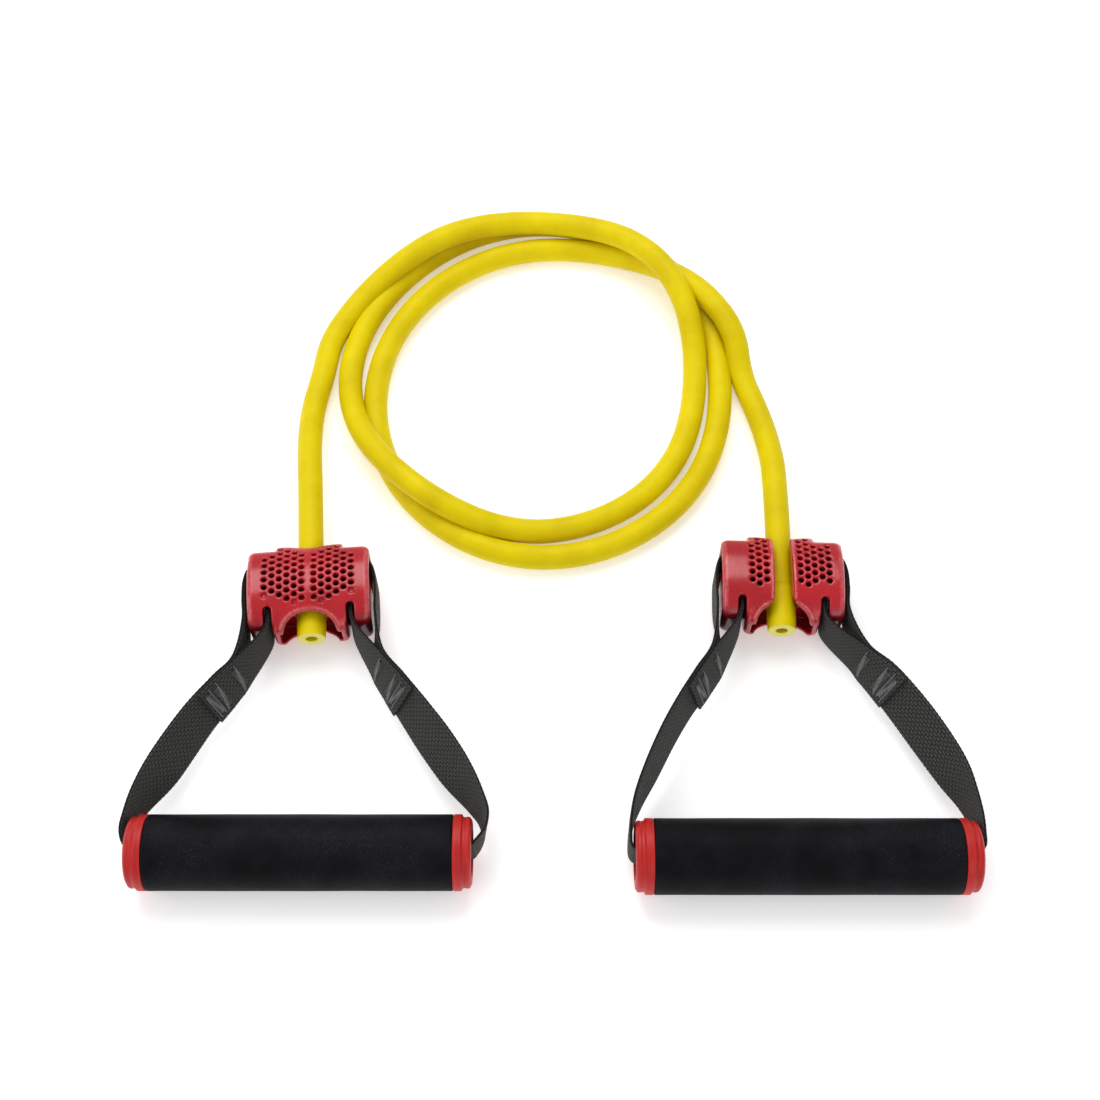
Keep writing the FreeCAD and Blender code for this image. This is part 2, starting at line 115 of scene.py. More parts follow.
# The loop through the pocket's wing, from the notch up and over its side wall and down outside:
# out from the pocket's axis, up from its middle, lean.
LOOP = [(18.6, -19.5, 4), (17.5, -14.0, 0), (17.6, -6.0, 0), (18.2, 2.5, 0), (19.5, 8.6, 0),
        (22.6, 10.9, 0), (25.9, 9.2, 0), (27.7, 4.0, 0), (28.1, -4.0, 0), (27.9, -14.0, 0)]
WEBBING_WIDTH = 19.0
WEBBING_THICKNESS = 1.6
LAYER_GAP = 0.06
# The sewn tails, measured along the arm, and the rows of thread, measured along the tail.
TAIL_START = 10.0
TAIL_LENGTH = 21.0
TACK_PLACES = (1.5, 12.0, 16.2)
TACK_RUN = 3.0
TACK_HALF_WIDTH = 7.4
TACK_PASSES = 11
TACK_STEPS = 8
THREAD_RADIUS = 0.21
THREAD_LIFT = 0.20
THREAD_DIP = 0.32

GRIP_RADIUS = 15.2
GRIP_HALF = 68.5
CAP_LENGTH = 7.4
CAP_BAND = 3.4
CORE_BORE = 9.95
CORE_RADIUS = 12.0

# The pocket's shell. Each plate of its outline: half width, low end, high end, corner radius.
GRID_STEP = 0.42
FACE_RADIUS = 31.0
HALF_DEPTH = 14.5
WALL = 2.0
WINGS = (26.0, -19.0, 18.0, 3.2)
COLLAR = (14.5, -16.0, 21.0, 1.0)
FEET = (15.8, -21.0, 5.0, 2.4)
ARCH_HALF_WIDTH = 11.2
ARCH_HEIGHT = 7.8
ROOM_START = 16.5
ROOM_END = 24.0
RIB_START = 19.4
FOOT_HALF_WIDTH = 13.0
FOOT_ROOF = -9.6
SLOT_HALF_WIDTH = 3.6
NOTCH_PLACE = 17.5
NOTCH_TOP = -12.1
NOTCH_RADIUS = 1.65
BORE_RADIUS = 5.85
SEAT_RADIUS = 6.6

# The pocket's ventilation holes. Each column: distance out, steps of half a pitch down from the top
# hole of the highest column, and how many holes. On the back, a column that starts at one of
# DIMPLE_STARTS ends in a shallow dimple.
HOLE_RADIUS = 1.17
HOLE_PITCH = 3.65
HOLE_DEPTH = 4.6
DIMPLE_DEPTH = 1.2
BACK_TOP = 19.4
FRONT_TOP = 19.8
BACK_COLUMNS = [(2.6, 3, 7), (5.75, 2, 8), (8.9, 1, 8), (12.05, 0, 8), (15.2, 3, 6), (18.4, 4, 6)]
FRONT_COLUMNS = [(7.2, 1, 7), (10.3, 0, 8), (13.3, 3, 6), (16.4, 4, 5), (19.4, 3, 6)]
PLAIN_CHEEK_COLUMNS = 3
DIMPLE_STARTS = (2, 4)

CAMERA_TARGET = (0, 0.0825, 0)
CAMERA_HEIGHT = 62.5
CAMERA_AWAY = 0.760
CAMERA_WIDTH = 35.85


# ---------------------------------------------------------------- frames and small helpers

def joint(name):
    """A joint of the frame by its name."""
    return next(item for item in frame["joints"] if item["name"] == name)


def pocket_frame(side):
    """From a pocket's own millimetres (across, along the tube, up) to the row frame."""
    low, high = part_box(side + "_pocket")
    along = Vector(joint(side + "_pocket_unseat")["axis"]).normalized()
    turn = Matrix((along.cross(UP), along, UP)).transposed().to_4x4()
    return Matrix.Translation((low + high) / 2) @ turn @ Matrix.Scale(MM, 4)


def grip_frame(side):
    """From a grip's own millimetres, with its axis along X, to the row frame."""
    low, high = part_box(side + "_grip_sleeve")
    return Matrix.Translation((low + high) / 2) @ Matrix.Scale(MM, 4)


def mesh_piece(name, points, faces, matrix, material):
    """A smooth-shaded mesh in the row frame from points in a piece's own frame."""
    mesh = bpy.data.meshes.new(name)
    mesh.from_pydata([tuple(point) for point in points], [], [tuple(face) for face in faces])
    mesh.transform(matrix)
    mesh.update()
    mesh.polygons.foreach_set("use_smooth", [True] * len(mesh.polygons))
    mesh.materials.append(material)
    piece = bpy.data.objects.new(name, mesh)
    bpy.context.scene.collection.objects.link(piece)
    return piece


def rounded(corners, radius, steps=4):
    """A closed outline with each corner turned into an arc of at most that radius."""
    outline = []
    count = len(corners)
    for index in range(count):
        corner = Vector(corners[index])
        before = Vector(corners[index - 1]) - corner
        after = Vector(corners[(index + 1) % count]) - corner
        reach = min(radius, 0.45 * before.length, 0.45 * after.length)
        start = corner + before.normalized() * reach
        end = corner + after.normalized() * reach
        for step in range(steps + 1):
            share = step / steps
            outline.append(start.lerp(corner, share).lerp(corner.lerp(end, share), share))
    return outline


def lathe(outline, steps=96):
    """Points and faces of a closed outline of (along, radius) turned about X."""
    count = len(outline)
    points = []
    for step in range(steps):
        angle = 2 * math.pi * step / steps
        points += [(along, radius * math.cos(angle), radius * math.sin(angle))
                   for along, radius in outline]
    faces = []
    for step in range(steps):
        here = step * count
        there = (step + 1) % steps * count
        for index in range(count):
            after = (index + 1) % count
            faces.append((here + index, here + after, there + after, there + index))
    return points, faces


def spline(points, spacing):
    """Evenly spaced rows along a centripetal Catmull-Rom curve; each point may hold more than
    a place, and the first three numbers are the place."""
    rows = np.array(points, float)
    rows = np.vstack([2 * rows[0] - rows[1], rows, 2 * rows[-1] - rows[-2]])
    found = []
    for index in range(1, len(rows) - 2):
        p0, p1, p2, p3 = rows[index - 1:index + 3]
        gaps = [max(np.linalg.norm((b - a)[:3]), 1e-9) ** 0.5
                for a, b in ((p0, p1), (p1, p2), (p2, p3))]
        m1 = (p2 - p1) / gaps[1] - (p2 - p0) / (gaps[0] + gaps[1]) + (p1 - p0) / gaps[0]
        m2 = (p3 - p2) / gaps[2] - (p3 - p1) / (gaps[1] + gaps[2]) + (p2 - p1) / gaps[1]
        m1, m2 = m1 * gaps[1], m2 * gaps[1]
        for t in np.linspace(0, 1, 24, endpoint=False):
            found.append((2 * t**3 - 3 * t**2 + 1) * p1 + (t**3 - 2 * t**2 + t) * m1
                         + (3 * t**2 - 2 * t**3) * p2 + (t**3 - t**2) * m2)
    found.append(rows[-2])
    found = np.array(found)
    run = np.concatenate([[0], np.cumsum(np.linalg.norm(np.diff(found[:, :3], axis=0), axis=1))])
    marks = np.linspace(0, run[-1], max(2, round(run[-1] / spacing)) + 1)
    return np.column_stack([np.interp(marks, run, found[:, column])
                            for column in range(found.shape[1])]), marks


# ---------------------------------------------------------------- materials

def new_material(name, colour, roughness, **sockets):
    """A principled material with its constants set on the shader's own sockets."""
    made = bpy.data.materials.new(name)
    made.use_nodes = True
    shader = made.node_tree.nodes["Principled BSDF"]
    shader.inputs["Base Color"].default_value = (*colour, 1)
    shader.inputs["Roughness"].default_value = roughness
    for socket, value in sockets.items():
        shader.inputs[socket.replace("_", " ")].default_value = value
    return made


class Nodes:
    """Short calls for adding and linking the nodes of one material."""

    def __init__(self, made):
        self.tree = made.node_tree
        self.shader = made.node_tree.nodes["Principled BSDF"]

    def add(self, kind, inputs=None, **settings):
        node = self.tree.nodes.new("ShaderNode" + kind)
        for name, value in settings.items():
            setattr(node, name, value)
        for name, value in (inputs or {}).items():
            if isinstance(value, bpy.types.NodeSocket):
                self.tree.links.new(value, node.inputs[name])
            else:
                node.inputs[name].default_value = value
        return node

    def place(self, scale=(1, 1, 1)):
        """Object coordinates in millimetres, stretched by scale."""
        source = self.add("TexCoord").outputs["Object"]
        sizes = [part / MM for part in scale]
        return self.add("Mapping", {"Vector": source, "Scale": sizes}).outputs["Vector"]

    def noise(self, vector, scale, detail=3.0, roughness=0.55):
        inputs = {"Vector": vector, "Scale": scale, "Detail": detail, "Roughness": roughness}
        return self.add("TexNoise", inputs).outputs["Fac"]

    def ramp(self, value, low, high, start=0.0, end=1.0):
        """Map a value's range low to high onto start to end."""
        inputs = {"Value": value, "From Min": low, "From Max": high, "To Min": start,
                  "To Max": end}
        return self.add("MapRange", inputs).outputs["Result"]

    def mix(self, share, one, two):
        node = self.add("Mix", data_type="RGBA")
        for socket, value in ((node.inputs["Factor"], share), (node.inputs[6], one),
                              (node.inputs[7], two)):
            if isinstance(value, bpy.types.NodeSocket):
                self.tree.links.new(value, socket)
            elif isinstance(value, tuple):
                socket.default_value = (*value, 1)
            else:
                socket.default_value = value
        return node.outputs[2]

    def math(self, operation, one, two=0.0):
        node = self.add("Math", {0: one, 1: two}, operation=operation)
        return node.outputs[0]

    def attribute(self, name):
        return self.add("Attribute", attribute_name=name).outputs["Fac"]

    def bump(self, height, strength, distance, normal=None):
        inputs = {"Height": height, "Strength": strength, "Distance": distance * MM}
        if normal:
            inputs["Normal"] = normal
        return self.add("Bump", inputs).outputs["Normal"]

    def set(self, socket, value):
        self.tree.links.new(value, self.shader.inputs[socket])


def latex_material():
    """Satin yellow latex: cloudy, with dusty bloom."""
    made = new_material("yellow_latex", (0.70, 0.56, 0.001), 0.42, Specular_IOR_Level=0.10,
                        Subsurface_Weight=0.10, Subsurface_Scale=0.0015)
    made.node_tree.nodes["Principled BSDF"].inputs["Subsurface Radius"].default_value = (
        1.0, 0.8, 0.1)
    nodes = Nodes(made)
    place = nodes.place()
    cloud = nodes.ramp(nodes.noise(place, 0.045, 4.0), 0.35, 0.68)
    fine = nodes.noise(place, 1.6, 5.0)
    colour = nodes.mix(cloud, (0.64, 0.495, 0.0005), (0.76, 0.61, 0.001))
    colour = nodes.mix(nodes.ramp(fine, 0.62, 0.8, 0.0, 0.35), colour, (0.80, 0.68, 0.03))
    colour = nodes.mix(nodes.attribute("cut"), colour, (0.88, 0.82, 0.20))
    nodes.set("Base Color", colour)
    nodes.set("Roughness", nodes.ramp(fine, 0.3, 0.7, 0.36, 0.52))
    nodes.set("Normal", nodes.bump(nodes.noise(place, 0.9, 6.0), 0.25, 0.12))
    return made


def pocket_material():
    """Glossy crimson moulding: painted pale highlights along its rims, painted shade in its
    recesses, faint orange-peel.
    """
    made = new_material("crimson_plastic", (0.43, 0.006, 0.018), 0.3, Specular_IOR_Level=0.40,
                        Coat_Weight=0.3, Coat_Roughness=0.18)
    nodes = Nodes(made)
    place = nodes.place()
    cloud = nodes.ramp(nodes.noise(place, 0.07, 3.0), 0.35, 0.65)
    colour = nodes.mix(cloud, (0.36, 0.0010, 0.007), (0.47, 0.0025, 0.012))
    # Painted highlight: convex rims are mixed towards pale pink, broken up by noise, in place of
    # reflected light.
    mottled_highlight = nodes.math("MULTIPLY", nodes.attribute("rim_highlight"),
                      nodes.ramp(nodes.noise(place, 0.5, 4.0), 0.3, 0.65, 0.35, 1.0))
    colour = nodes.mix(mottled_highlight, colour, (0.74, 0.20, 0.22))
    # Painted shade: deep holes, the hollow wings and the wing bottoms are darkened towards
    # near-black.
    colour = nodes.mix(nodes.attribute("recess_shade"), colour, (0.020, 0.0008, 0.003))
    nodes.set("Base Color", colour)
    scuff = nodes.noise(nodes.place((1, 0.25, 1)), 1.1, 6.0)
    nodes.set("Roughness", nodes.ramp(scuff, 0.35, 0.75, 0.19, 0.34))
    nodes.set("Normal", nodes.bump(nodes.noise(place, 0.55, 3.0), 0.12, 0.08))
    return made


def cap_material():
    """Satin red end cap with faint turned bands."""
    made = new_material("red_cap", (0.45, 0.012, 0.010), 0.42, Specular_IOR_Level=0.3)
    nodes = Nodes(made)
    place = nodes.place()
    bands = nodes.noise(nodes.place((1, 0.02, 0.02)), 1.3, 4.0)
    colour = nodes.mix(nodes.ramp(bands, 0.35, 0.68), (0.40, 0.009, 0.008), (0.52, 0.016, 0.013))
    nodes.set("Base Color", colour)
    nodes.set("Roughness", nodes.ramp(nodes.noise(place, 1.2, 5.0), 0.3, 0.7, 0.36, 0.52))
    nodes.set("Normal", nodes.bump(bands, 0.35, 0.12))
    return made


def foam_material():
    """Near-black rubber foam: fine open cells, grey specks and faintly lighter patches."""
    made = new_material("black_foam", (0.004, 0.0041, 0.0056), 0.62, Specular_IOR_Level=0.09)
    nodes = Nodes(made)
    place = nodes.place()
    cells = nodes.add("TexVoronoi", {"Vector": place, "Scale": 1.5}).outputs["Distance"]
    grains = nodes.noise(place, 2.6, 6.0, 0.7)
    patches = nodes.ramp(nodes.noise(place, 0.05, 3.0), 0.4, 0.65)
    specks = nodes.math("MULTIPLY", nodes.ramp(grains, 0.57, 0.66, 0.0, 0.9), patches)
    colour = nodes.mix(patches, (0.0020, 0.0020, 0.0030), (0.0050, 0.0051, 0.0074))
    colour = nodes.mix(specks, colour, (0.055, 0.058, 0.072))
    nodes.set("Base Color", colour)
    nodes.set("Roughness", nodes.ramp(grains, 0.3, 0.7, 0.50, 0.72))
    rough = nodes.bump(cells, 0.25, 0.10)
    nodes.set("Normal", nodes.bump(grains, 0.35, 0.10, rough))
    return made


def webbing_material():
    """Dark olive-grey polyester webbing: staggered short ribs with dark gaps between them."""
    made = new_material("dark_webbing", (0.036, 0.037, 0.033), 0.72, Specular_IOR_Level=0.16,
                        Sheen_Weight=0.06, Sheen_Roughness=0.5)
    nodes = Nodes(made)
    uv = nodes.add("UVMap", uv_map="weave").outputs["UV"]
    inputs = {"Vector": uv, "Scale": 1.0, "Mortar Size": 0.31, "Mortar Smooth": 1.0,
              "Brick Width": 2.3, "Row Height": 1.36, "Color1": (0.8, 0.8, 0.8, 1),
              "Color2": (1, 1, 1, 1), "Mortar": (0, 0, 0, 1)}
    ribs = nodes.add("TexBrick", inputs, offset=0.5, squash=1.0)
    gap = ribs.outputs["Fac"]
    threads = nodes.noise(nodes.add("Mapping", {"Vector": uv, "Scale": (1.2, 6.0, 1.0)})
                          .outputs["Vector"], 1.5, 3.0)
    colour = nodes.mix(threads, (0.028, 0.029, 0.0255), (0.080, 0.082, 0.073))
    fade = nodes.ramp(nodes.noise(nodes.place(), 0.06, 3.0), 0.35, 0.7, 0.0, 0.35)
    colour = nodes.mix(fade, colour, (0.056, 0.057, 0.052))
    colour = nodes.mix(nodes.math("MULTIPLY", gap, 0.95), colour, (0.0015, 0.0015, 0.0015))
    nodes.set("Base Color", colour)
    nodes.set("Roughness", nodes.ramp(threads, 0.3, 0.7, 0.62, 0.82))
    height = nodes.math("SUBTRACT", nodes.math("MULTIPLY", threads, 0.25), gap)
    nodes.set("Normal", nodes.bump(height, 1.0, 0.42))
    return made


def thread_material():
    """Twisted sewing thread, lighter than the webbing."""
    made = new_material("grey_thread", (0.16, 0.165, 0.165), 0.6, Sheen_Weight=0.2)
    nodes = Nodes(made)
    place = nodes.place()
    twist = nodes.noise(place, 3.2, 3.0)
    nodes.set("Base Color", nodes.mix(twist, (0.065, 0.068, 0.068), (0.22, 0.225, 0.225)))
    nodes.set("Normal", nodes.bump(twist, 0.5, 0.1))
    return made


def dull_material(name, one, two, roughness):
    """A plain moulded part that is mostly hidden: two close tones and a fine grain."""
    made = new_material(name, one, roughness)
    nodes = Nodes(made)
    grain = nodes.noise(nodes.place(), 0.8, 4.0)
    nodes.set("Base Color", nodes.mix(grain, one, two))
    nodes.set("Normal", nodes.bump(grain, 0.2, 0.08))
    return made


LATEX = latex_material()
CRIMSON = pocket_material()
CAP_RED = cap_material()
FOAM = foam_material()
WEBBING = webbing_material()
THREAD = thread_material()
CORE = dull_material("core_plastic", (0.02, 0.02, 0.023), (0.04, 0.04, 0.045), 0.5)
PLUG = dull_material("plug_plastic", (0.42, 0.34, 0.01), (0.55, 0.45, 0.02), 0.5)


# ---------------------------------------------------------------- camera, floor and light

def aim(item, place, target):
    """Put a camera or light at a place, looking at a target."""
    item.location = place
    item.rotation_mode = "QUATERNION"
    item.rotation_quaternion = (Vector(target) - Vector(place)).to_track_quat("-Z", "Y")


def camera():
    """The product view, looking steeply down from the front."""
    target = Vector(CAMERA_TARGET)
    height = math.radians(CAMERA_HEIGHT)
    back = Vector((0, -math.cos(height), math.sin(height)))
    data = bpy.data.cameras.new("camera")
    data.sensor_width = 36
    data.lens = data.sensor_width / 2 / math.tan(math.radians(CAMERA_WIDTH) / 2)
    item = bpy.data.objects.new("camera", data)
    bpy.context.scene.collection.objects.link(item)
    aim(item, target + back * CAMERA_AWAY, target)
    bpy.context.scene.camera = item


def softbox(name, place, size, energy):
    """A square area light aimed at the middle of the object."""
    data = bpy.data.lights.new(name, "AREA")
    data.size = size
    data.energy = energy
    item = bpy.data.objects.new(name, data)
    bpy.context.scene.collection.objects.link(item)
    aim(item, place, (0, 0.08, 0))


def studio():
    """White floor that glows a little, white surround and three softboxes."""
    white = dull_material("floor_white", (0.93, 0.93, 0.93), (0.95, 0.95, 0.95), 0.9)
    shader = next(node for node in white.node_tree.nodes if node.type == "BSDF_PRINCIPLED")
    shader.inputs["Emission Color"].default_value = (1, 1, 1, 1)
    shader.inputs["Emission Strength"].default_value = 0.3
    half = 6.0  # metres
    mesh = bpy.data.meshes.new("floor")
    mesh.from_pydata([(-half, -half, 0), (half, -half, 0), (half, half, 0), (-half, half, 0)],
                     [], [(0, 1, 2, 3)])
    mesh.materials.append(white)
    floor = bpy.data.objects.new("floor", mesh)
    floor.location = (0, 0, -0.0003)
    bpy.context.scene.collection.objects.link(floor)
    world = bpy.data.worlds.new("surround")
    world.use_nodes = True
    world.node_tree.nodes["Background"].inputs["Color"].default_value = (1, 1, 1, 1)
    world.node_tree.nodes["Background"].inputs["Strength"].default_value = 0.52
    bpy.context.scene.world = world
    bpy.context.scene.view_settings.view_transform = "Standard"
    softbox("top_light", (-0.15, 0.75, 1.15), 1.0, 11)
    softbox("left_light", (-1.1, -0.2, 0.9), 0.8, 4)
    softbox("front_light", (0.5, -1.1, 0.9), 0.9, 3.5)


# ---------------------------------------------------------------- the tube

def lane_radius(angle):
    """Radius of the coil's lane at an angle in degrees, smooth through the stated ones."""
    mark = (180 - angle) / LANE_STEP
    index = min(int(mark), len(LANES) - 2)
    t = mark - index
    p1, p2 = LANES[index], LANES[index + 1]
    p0 = LANES[max(index - 1, 0)]
    p3 = LANES[min(index + 2, len(LANES) - 1)]
    return 0.5 * (2 * p1 + (p2 - p0) * t + (2 * p0 - 5 * p1 + 4 * p2 - p3) * t**2
                  + (3 * p1 - p0 - 3 * p2 + p3) * t**3)


def lane_height(angle):
    """Height of the tube's middle: on the floor, with a long low hump over each crossing."""
    height = TUBE_RADIUS
    for place, lift, reach in HUMPS:
        if abs(angle - place) < reach:
            height += lift * math.cos(math.pi / 2 * (angle - place) / reach) ** 2
    return height


def tube_points():
    """Control points of the whole tube, in metres, from pocket to pocket."""
    points = [pocket_frame("left") @ Vector((0, CORD_TOP, 0))]
    points += [Vector(point) * MM for point in ROUTES["left"]]
    for angle in range(COIL_START, COIL_END - 1, -POINT_STEP):
        radius = lane_radius(angle) * LANE_SWELL
        turn = math.radians(angle)
        points.append(Vector((COIL_MIDDLE[0] + radius * math.cos(turn),
                              COIL_MIDDLE[1] + radius * math.sin(turn),
                              lane_height(angle))) * MM)
    points += [Vector(point) * MM for point in reversed(ROUTES["right"])]
    points.append(pocket_frame("right") @ Vector((0, CORD_TOP, 0)))
    return points


def latex_tube():
    """The free tube as one smooth curve."""
    points = tube_points()
    data = bpy.data.curves.new("latex_tube", "CURVE")
    data.dimensions = "3D"
    data.bevel_depth = TUBE_RADIUS * MM
    data.bevel_resolution = 10
    data.resolution_u = 12
    data.use_fill_caps = True
    line = data.splines.new("NURBS")
    line.points.add(len(points) - 1)
    for point, place in zip(line.points, points):
        point.co = (*place, 1)
    line.order_u = 3
    line.use_endpoint_u = True
    data.materials.append(LATEX)
    piece = bpy.data.objects.new("latex_tube", data)
    bpy.context.scene.collection.objects.link(piece)
    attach(piece, "tube")
    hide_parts("tube_coil", "left_tube_arm", "right_tube_arm")
    return piece


def tube_end(side):
    """The swollen end of the tube over its plug, paler where it was cut."""
    tip = CORD_TOP - END_TIP
    swell = CORD_TOP - SWELL_TOP
    corners = [(0, TUBE_RADIUS), (swell, TUBE_RADIUS), (swell + 1.8, BULGE_RADIUS),
               (tip - 6, BULGE_RADIUS), (tip, BULGE_RADIUS - 0.3), (tip, TUBE_HOLLOW - 0.3),
               (tip - 3, TUBE_HOLLOW), (tip - 3, PLUG_RADIUS), (swell + 1.2, PLUG_RADIUS),
               (swell, TUBE_HOLLOW), (0, TUBE_HOLLOW)]
    # The first and last corners stay square, where the end meets the free tube.
    corner_points = 5
    curved = rounded(corners, 0.55, corner_points - 1)[corner_points:-corner_points]
    outline = [corners[0]] + curved + [corners[-1]]
    points, faces = lathe(outline)
    matrix = (pocket_frame(side) @ Matrix.Translation((0, CORD_TOP, 0))
              @ Matrix.Rotation(-math.pi / 2, 4, "Z"))
    piece = mesh_piece(side + "_cut_end", points, faces, matrix, LATEX)
    add_share(piece, "cut", np.array([point[0] > tip - 0.3 for point in points]))
    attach(piece, "tube")
    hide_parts(side + "_tube_end")
    return piece


# ---------------------------------------------------------------- pockets

def sharp_join(one, two, soft):
    """The larger of two fields, with the edge between them rounded over."""
    meet = np.maximum(soft - np.abs(one - two), 0) / soft
    return np.maximum(one, two) + meet**2 * soft / 4


def merge(one, two, soft):
    """The smaller of two fields, with a fillet where they meet."""
    return -sharp_join(-one, -two, soft)


def slab(place, low, high):
    """Distance outside a slab from low to high."""
    return np.abs(place - (low + high) / 2) - (high - low) / 2


def plate(u, v, half, low, high, corner):
    """Distance outside an upright plate with rounded corners."""
    across = np.abs(u) - half + corner
    along = slab(v, low, high) + corner
    outside = np.hypot(np.maximum(across, 0), np.maximum(along, 0))
    return outside + np.minimum(np.maximum(across, along), 0) - corner


def vent_field(u, arc, columns, top, dimples):
    """Distance outside the nearest of one face's deep holes, or of its dimples."""
    nearest = np.full(u.shape, 9.0)
    for place, halves, count in columns:
        near = np.abs(u - place) < HOLE_PITCH
        for row in range(count):
            dimple = row == count - 1 and halves in DIMPLE_STARTS
            if dimple != dimples:
                continue
            spot = top - HOLE_PITCH * (row + halves / 2)
            found = np.hypot(u[near] - place, arc[near] - spot) - HOLE_RADIUS
            nearest[near] = np.minimum(nearest[near], found)
    return nearest


def pocket_fields():
    """The pocket as a sampled field, its plain outer body, and the grid's low corner."""
    half_extent = np.array((27.5, 22.7, 15.8))
    axes = [np.arange(-half, half + GRID_STEP, GRID_STEP) for half in half_extent]
    u, v, w = np.meshgrid(*axes, indexing="ij")
    centre = FACE_RADIUS - HALF_DEPTH
    radial = np.where(w > 0, np.hypot(v, w + centre), np.hypot(v, w - centre))
    arc = FACE_RADIUS * np.arctan2(v, np.abs(w) + centre)
    arch = (np.hypot(u / ARCH_HALF_WIDTH, (v + MOUTH) / ARCH_HEIGHT) - 1) * ARCH_HEIGHT
    front = w > 0
    slot_half = SLOT_HALF_WIDTH + 0.5 * (MOUTH - v) / (2 * MOUTH)
    lip = 0.3 * np.exp(-((arch - 0.9) / 0.6) ** 2)
    lip += np.where(front, 0.35 * np.exp(-((np.abs(u) - slot_half - 0.9) / 0.7) ** 2)
                    * (v > -12.0), 0)
    faces = radial - FACE_RADIUS - lip
    outline = merge(plate(u, v, *WINGS), plate(u, v, *COLLAR), 1.2)
    outline = merge(outline, plate(u, v, *FEET), 1.0)
    body = sharp_join(faces, outline, 2.4)
    outer = body.copy()

    inside_faces = radial - FACE_RADIUS + WALL
    out = np.abs(u)
    room = np.maximum(slab(out, ROOM_START, ROOM_END), slab(v, -17.0, 16.0))
    rib = np.maximum(np.maximum(np.abs(w) - 0.8, RIB_START - out), v - 5.0)
    room = np.maximum(np.maximum(room, inside_faces), -rib)
    body = sharp_join(body, -room, 0.8)
    foot = np.maximum(np.maximum(out - FOOT_HALF_WIDTH, v - FOOT_ROOF), inside_faces)
    body = sharp_join(body, -foot, 0.8)
    across = np.hypot(u, w)
    flare = BORE_RADIUS + 6.2 * (np.maximum(v - 13.0, 0) / 8) ** 2
    body = sharp_join(body, flare - across, 1.0)
    seat = np.maximum(across - SEAT_RADIUS, v - SWELL_TOP)
    body = np.maximum(body, -seat)
    slot = np.maximum(out - slot_half, -w)
    opening = np.where(front, merge(slot, arch, 3.5), arch)
    body = sharp_join(body, -opening, 0.8)
    notch = np.hypot(out - NOTCH_PLACE, np.maximum(v - NOTCH_TOP, 0)) - NOTCH_RADIUS
    body = sharp_join(body, -notch, 0.9)
    window = np.maximum(np.maximum(slab(v, 1.5, 13.5), np.abs(w) - 10.0), 22.0 - out)
    body = sharp_join(body, -window, 0.9)

    # The front's left cheek has holes only in the columns nearest the slot.
    cheek_edge = FRONT_COLUMNS[PLAIN_CHEEK_COLUMNS - 1][0] + 1.6
    for face, columns, top in ((~front, BACK_COLUMNS, BACK_TOP), (front, FRONT_COLUMNS, FRONT_TOP)):
        shallow = DIMPLE_DEPTH if columns is BACK_COLUMNS else HOLE_DEPTH
        for dimples, depth in ((False, HOLE_DEPTH), (True, shallow)):
            holes = vent_field(out, arc, columns, top, dimples)
            holes = np.maximum(holes, FACE_RADIUS - depth - radial)
            holes = np.where(face, holes, 9.0)
            if columns is FRONT_COLUMNS:
                holes = np.where(u < -cheek_edge, 9.0, holes)
            body = sharp_join(body, -holes, 0.5)
    return body, outer, -half_extent


def surface_net(field):
    """Vertices in grid steps, and quads, round the zero surface of a sampled field."""
    inside = field < 0
    total = np.zeros((*field.shape, 3))
    count = np.zeros(field.shape)
    walls = []
    for axis in range(3):
        others = [(axis + 1) % 3, (axis + 2) % 3]
        crossed = np.argwhere(np.diff(inside, axis=axis))
        step = np.eye(3, dtype=int)
        near = field[tuple(crossed.T)]
        far = field[tuple((crossed + step[axis]).T)]
        place = crossed + step[axis] * (near / (near - far))[:, None]
        ring = [crossed, crossed - step[others[0]], crossed - step[others[0]] - step[others[1]],
                crossed - step[others[1]]]
        for cell in ring:
            np.add.at(total, tuple(cell.T), place)
            np.add.at(count, tuple(cell.T), 1)
        flat = np.stack([np.ravel_multi_index(tuple(cell.T), field.shape) for cell in ring], 1)
        forward = near < 0
        walls += [flat[forward], flat[~forward][:, ::-1]]
    used = np.flatnonzero(count.ravel())
    number = np.full(field.size, -1)
    number[used] = np.arange(len(used))
    points = total.reshape(-1, 3)[used] / count.ravel()[used][:, None]
    return points, number[np.vstack(walls)]


def relaxed(points, faces, rounds=2, share=0.35):
    """The points drawn a little towards their neighbours, which removes the grid's steps."""
    edges = np.vstack([faces[:, [0, 1]], faces[:, [1, 2]], faces[:, [2, 3]], faces[:, [3, 0]]])
    for _ in range(rounds):
        total = np.zeros_like(points)
        count = np.zeros(len(points))
        np.add.at(total, edges[:, 0], points[edges[:, 1]])
        np.add.at(count, edges[:, 0], 1)
        points = points + share * (total / count[:, None] - points)
    return points


def sampled(field, points):
    """A field's value at points given in grid steps."""
    cell = np.clip(np.rint(points).astype(int), 0, np.array(field.shape) - 1)
    return field[tuple(cell.T)]


